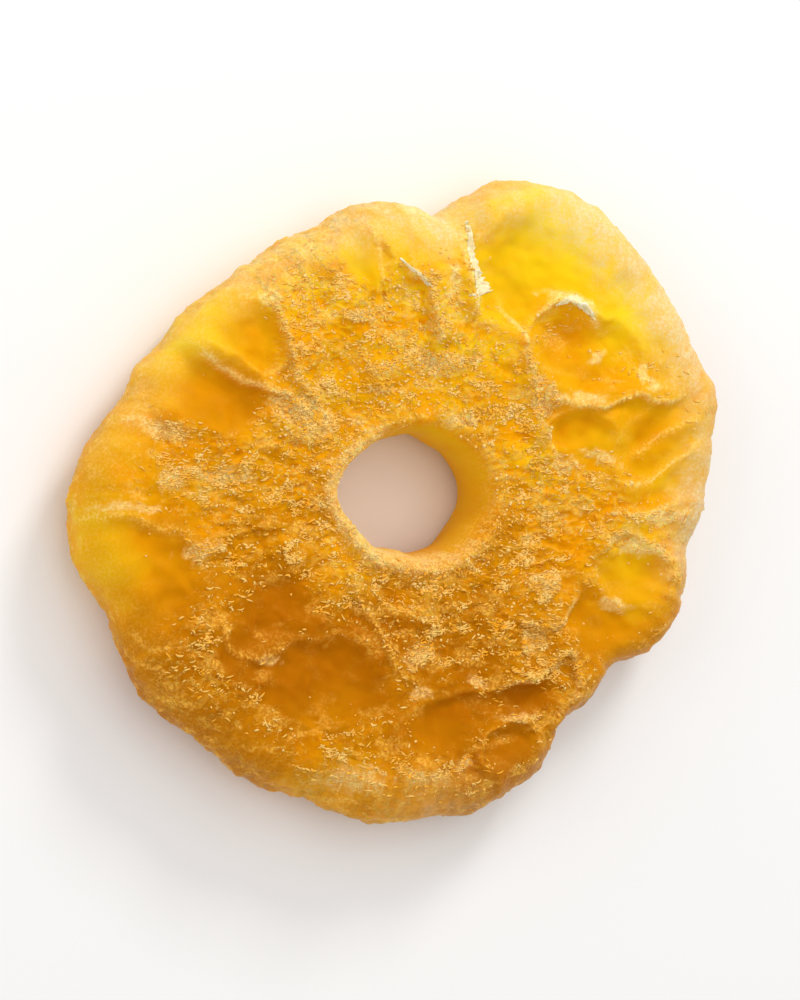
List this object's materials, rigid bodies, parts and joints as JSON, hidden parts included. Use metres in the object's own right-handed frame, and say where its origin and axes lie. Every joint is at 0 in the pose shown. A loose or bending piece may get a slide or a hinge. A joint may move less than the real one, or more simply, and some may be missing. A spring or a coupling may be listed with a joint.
{
  "type": "candied pineapple ring",
  "caption": "Thick candied pineapple ring with a lobed rim, sloping fruitlet pockets, thin flaps and an oval core hole, lying flat.",
  "frame": {"origin": "middle of the bounding box in X and Y, on the surface that the ring rests on", "axes": "+Z up, through the thickness, out of the shown face; +X to the right and +Y up on the shown face, with the notch in the rim near +Y"},
  "size_m": [0.079, 0.0734, 0.0136],
  "materials": {
    "candied_flesh": null
  },
  "bodies": {
    "root": {"pineapple_ring": "candied_flesh"}
  },
  "joints": []
}
